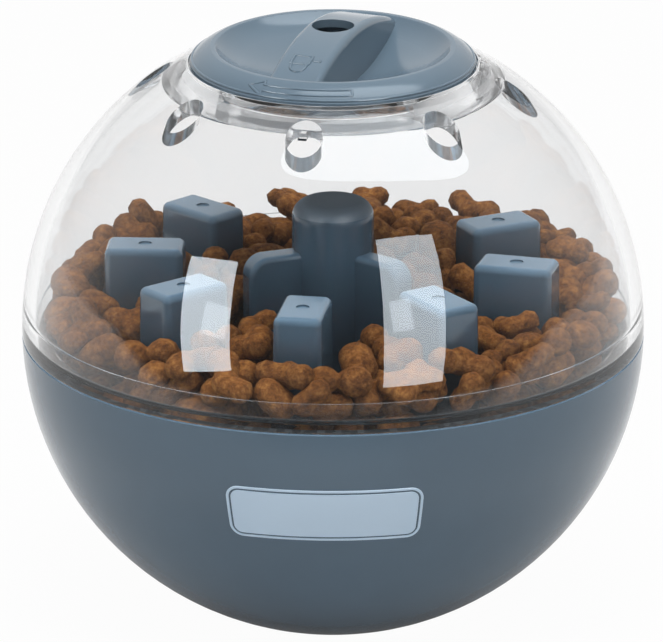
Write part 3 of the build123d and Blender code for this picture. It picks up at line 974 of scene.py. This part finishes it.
def make_arrow_sign():
    """Curved arrow on the flange, pointing the way that locks the cap."""
    middle = ARROW_RADIUS
    neck = ARROW_HEAD_ANGLE + ARROW_HEAD_SPAN
    corners = [
        (ARROW_TAIL_ANGLE, middle - ARROW_SHAFT / 2),
        (neck, middle - ARROW_SHAFT / 2),
        (neck, middle - ARROW_HEAD / 2),
        (ARROW_HEAD_ANGLE, middle),
        (neck, middle + ARROW_HEAD / 2),
        (neck, middle + ARROW_SHAFT / 2),
        (ARROW_TAIL_ANGLE, middle + ARROW_SHAFT / 2),
    ]
    unrolled = [(math.radians(angle) * middle, radius) for angle, radius in corners]
    stops = fine_line(unrolled, True)
    route = [flange_stop(radius, math.degrees(length / middle)) for length, radius in stops]
    sign("arrow_sign", [(route, True)], "cap")


def make_edge_bead():
    """Fine bead round the edge of the cap's flange."""
    angles = np.linspace(0.0, 360.0, BEAD_STEPS, endpoint=False)
    sign("edge_bead", [([flange_stop(BEAD_RADIUS, angle) for angle in angles], True)], "cap")


def plate_stops(inset):
    """Rounded rectangle inside the plate's edge, with its stops close together."""
    corner = max(PLATE_CORNER - inset, 0.0)
    half_width = PLATE_WIDTH / 2 - max(inset, PLATE_CORNER)
    half_height = PLATE_HEIGHT / 2 - max(inset, PLATE_CORNER)
    corners = []
    for quarter, (side_x, side_y) in enumerate(((1, 1), (-1, 1), (-1, -1), (1, -1))):
        for turn in np.linspace(0.0, math.pi / 2, PLATE_CORNER_STEPS) + quarter * math.pi / 2:
            x = side_x * half_width + corner * math.cos(turn)
            y = side_y * half_height + corner * math.sin(turn)
            corners.append(Vector((x, y)))
    stops = []
    for index, here in enumerate(corners):
        after = corners[(index + 1) % len(corners)]
        side, last = divmod(index + 1, PLATE_CORNER_STEPS)
        steps = 1 if last else (PLATE_LONG_STEPS, PLATE_SHORT_STEPS)[(side - 1) % 2]
        stops += [here.lerp(after, step / steps) for step in range(steps)]
    return stops


def plate_place(spot, rise):
    """Place on the base at a distance right of and above the plate's middle."""
    outward = RIGHT * PLATE_AIM[0] + UP * PLATE_AIM[1] + BACK * PLATE_AIM[2]
    tilt = math.asin(outward.z)
    latitude = tilt + spot.y / BALL_RADIUS
    longitude = math.atan2(outward.y, outward.x) + spot.x / (BALL_RADIUS * math.cos(tilt))
    radius = BALL_RADIUS + rise
    return polar(radius * math.cos(latitude), math.degrees(longitude), radius * math.sin(latitude))


def plate_piece(name, rings, looped):
    """Closed piece of the plate through (inset, rise) rings."""
    points = []
    for inset, rise in rings:
        points += [plate_place(spot, rise) for spot in plate_stops(inset)]
    count = len(points) // len(rings)
    faces = []
    for ring in range(len(rings) if looped else len(rings) - 1):
        here = ring * count
        there = (ring + 1) % len(rings) * count
        for index in range(count):
            after = (index + 1) % count
            faces.append((here + index, here + after, there + after, there + index))
    piece = mesh_piece(name, points, faces)
    shape = bmesh.new()
    shape.from_mesh(piece.data)
    bmesh.ops.remove_doubles(shape, verts=shape.verts, dist=PLATE_WELD)
    bmesh.ops.dissolve_degenerate(shape, edges=shape.edges, dist=PLATE_WELD)
    shape.to_mesh(piece.data)
    shape.free()
    face_outward(piece)
    smooth(piece, PLATE_CRISP_ANGLE)
    paint(piece, plate_plastic)
    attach(piece, "base")


def make_plate():
    """Bare plate on the front of the base: a thin border, a gap and a panel."""
    low = -PLATE_DEPTH
    high = PLATE_RISE
    border = [(0.0, low), (0.0, high - PLATE_EASE), (PLATE_EASE, high)]
    border += [(PLATE_BORDER - PLATE_EASE, high), (PLATE_BORDER, high - PLATE_EASE), (PLATE_BORDER, low)]
    plate_piece("plate_border", border, True)
    edge = PLATE_BORDER + PLATE_GAP
    insets = [edge + (PLATE_HEIGHT / 2 - edge) * share for share in PANEL_SHARES]
    panel = [(inset, low) for inset in reversed(insets)]
    panel += [(edge, low), (edge, high - PLATE_EASE), (edge + PLATE_EASE, high)]
    panel += [(inset, high) for inset in insets]
    plate_piece("plate_panel", panel, False)


make_lock_sign()
make_arrow_sign()
make_edge_bead()
make_plate()

# Stage, lights and camera


def make_camera():
    """Long lens at the photograph's angle."""
    spread_share = math.tan(math.asin(BALL_RADIUS / VIEW_DISTANCE))
    focal_pixels = BALL_PIXEL_RADIUS / spread_share
    metres_per_pixel = VIEW_DISTANCE / focal_pixels
    aim = BALL_CENTRE.copy()
    aim -= RIGHT * (BALL_PIXEL[0] - IMAGE_WIDTH / 2) * metres_per_pixel
    aim += UP * (BALL_PIXEL[1] - IMAGE_HEIGHT / 2) * metres_per_pixel
    lens = bpy.data.cameras.new("camera")
    lens.sensor_width = SENSOR_WIDTH
    lens.lens = focal_pixels * SENSOR_WIDTH / IMAGE_WIDTH
    lens.clip_end = VIEW_FARTHEST
    camera = link(bpy.data.objects.new("camera", lens))
    camera.location = aim + BACK * VIEW_DISTANCE
    camera.rotation_euler = BACK.to_track_quat("Z", "Y").to_euler()
    bpy.context.scene.camera = camera


def softbox(name, across, above, width, height, power, mirrored, roll=0.0, shape="RECTANGLE"):
    """Area lamp at angles right of and above the view, which either shows in reflections or gives light."""
    turn = math.radians(across)
    lift = math.radians(above)
    way = RIGHT * math.sin(turn) * math.cos(lift) + UP * math.sin(lift)
    way += BACK * math.cos(turn) * math.cos(lift)
    lamp = bpy.data.lights.new(name, "AREA")
    lamp.shape = shape
    lamp.size = width
    lamp.size_y = height
    lamp.energy = power
    lamp.color = BOX_TINT if mirrored else FILL_TINT
    piece = link(bpy.data.objects.new(name, lamp))
    piece.location = BALL_CENTRE + way * LAMP_DISTANCE
    facing = Quaternion(way, math.radians(roll)) @ way.to_track_quat("Z", "Y")
    piece.rotation_euler = facing.to_euler()
    piece.visible_camera = False
    piece.visible_transmission = False
    piece.visible_glossy = mirrored
    piece.visible_diffuse = not mirrored


def first_looks(nodes, links):
    """Whether the camera looks straight or through the dome, and whether by a reflection; 0 for lighting."""
    path = nodes.new("ShaderNodeLightPath").outputs
    looks = joined(nodes, links, "MAXIMUM", path["Is Camera Ray"], path["Is Transmission Ray"])
    looks = joined(nodes, links, "MAXIMUM", looks, path["Is Glossy Ray"])
    direct = joined(nodes, links, "LESS_THAN", path["Diffuse Depth"], 0.5)
    looks = joined(nodes, links, "MULTIPLY", looks, direct)
    turned = joined(nodes, links, "GREATER_THAN", path["Glossy Depth"], 0.5)
    mirror = joined(nodes, links, "MULTIPLY", looks, turned)
    return joined(nodes, links, "SUBTRACT", looks, mirror), mirror


def toward_front(nodes, links, place, start, end):
    """Share that falls from 1 to the dim room's between two distances toward the front."""
    along = vector_math(nodes, links, "DOT_PRODUCT", place, (BACK.x, BACK.y, 0.0)).outputs["Value"]
    return spread(nodes, links, along, 1.0, ROOM_DIM, start, end)


def make_floor():
    """Pale floor that keeps a soft shadow and looks white to the eye; in reflections it glows, dimmer in
    front, with a painted shadow under the ball.
    """
    corners = [(x * FLOOR_HALF, y * FLOOR_HALF, 0.0) for x, y in ((-1, -1), (1, -1), (1, 1), (-1, 1))]
    floor = mesh_piece("floor", corners, [(0, 1, 2, 3)])
    material, nodes, links, shader = node_material("floor_white")
    shader.inputs["Base Color"].default_value = FLOOR_COLOUR
    shader.inputs["Roughness"].default_value = FLOOR_ROUGHNESS
    place = nodes.new("ShaderNodeTexCoord").outputs["Object"]
    away = vector_math(nodes, links, "LENGTH", place).outputs["Value"]
    # Painted shadow under the ball in the floor's glow that reflections see
    painted_ball_shadow = spread(nodes, links, away, ROOM_DIM, 1.0, SHADE_START, SHADE_END)
    dimmed = toward_front(nodes, links, place, FLOOR_START, FLOOR_END)
    dimmed = joined(nodes, links, "MULTIPLY", dimmed, painted_ball_shadow)
    seen, mirror = first_looks(nodes, links)
    strength = joined(nodes, links, "MULTIPLY", mirror, dimmed)
    strength = joined(nodes, links, "ADD", strength, joined(nodes, links, "SUBTRACT", 1.0, mirror))
    glow = nodes.new("ShaderNodeEmission")
    links.new(strength, glow.inputs["Strength"])
    seen = joined(nodes, links, "MULTIPLY", seen, FLOOR_WHITE)
    share = joined(nodes, links, "ADD", seen, mirror)
    surface = nodes["Material Output"].inputs["Surface"]
    blend(nodes, links, share, shader.outputs["BSDF"], glow.outputs["Emission"], surface)
    paint(floor, material)


def make_world():
    """Even surround that looks pale, with a dimmer room in front of the ball for reflections."""
    world = bpy.data.worlds.new("surround")
    bpy.context.scene.world = world
    world.use_nodes = True
    nodes = world.node_tree.nodes
    links = world.node_tree.links
    even = nodes["Background"]
    even.inputs["Color"].default_value = SURROUND_COLOUR
    even.inputs["Strength"].default_value = SURROUND_STRENGTH
    place = nodes.new("ShaderNodeTexCoord").outputs["Generated"]
    dimmed = toward_front(nodes, links, place, ROOM_START, ROOM_END)
    seen, mirror = first_looks(nodes, links)
    dimmed = joined(nodes, links, "MULTIPLY", mirror, dimmed)
    pale = nodes.new("ShaderNodeBackground")
    links.new(joined(nodes, links, "ADD", seen, dimmed), pale.inputs["Strength"])
    share = joined(nodes, links, "ADD", seen, mirror)
    surface = nodes["World Output"].inputs["Surface"]
    blend(nodes, links, share, even.outputs["Background"], pale.outputs["Background"], surface)


make_floor()
make_world()
softbox("left_box", across=-46.0, above=3.0, width=0.30, height=0.60, power=7.6, mirrored=True, roll=12.0)
softbox("right_box", across=29.0, above=2.5, width=0.36, height=0.95, power=11.0, mirrored=True, roll=-8.0)
softbox("left_bulb", across=-42.2, above=1.0, width=0.15, height=0.17, power=0.35, mirrored=True)
softbox("right_bulb", across=24.1, above=2.9, width=0.12, height=0.17, power=0.3, mirrored=True)
softbox(
    "top_glow", across=30.0, above=65.0, width=1.0, height=0.46,
    power=4.2, mirrored=True, roll=-60.0, shape="ELLIPSE",
)
softbox("left_fill", across=-46.0, above=12.0, width=0.5, height=0.5, power=0.95, mirrored=False)
softbox("right_fill", across=40.0, above=12.0, width=0.5, height=0.5, power=0.75, mirrored=False)
softbox("top_box", across=6.0, above=60.0, width=0.8, height=0.7, power=13.8, mirrored=False)
make_camera()
bpy.context.scene.view_settings.view_transform = "Standard"
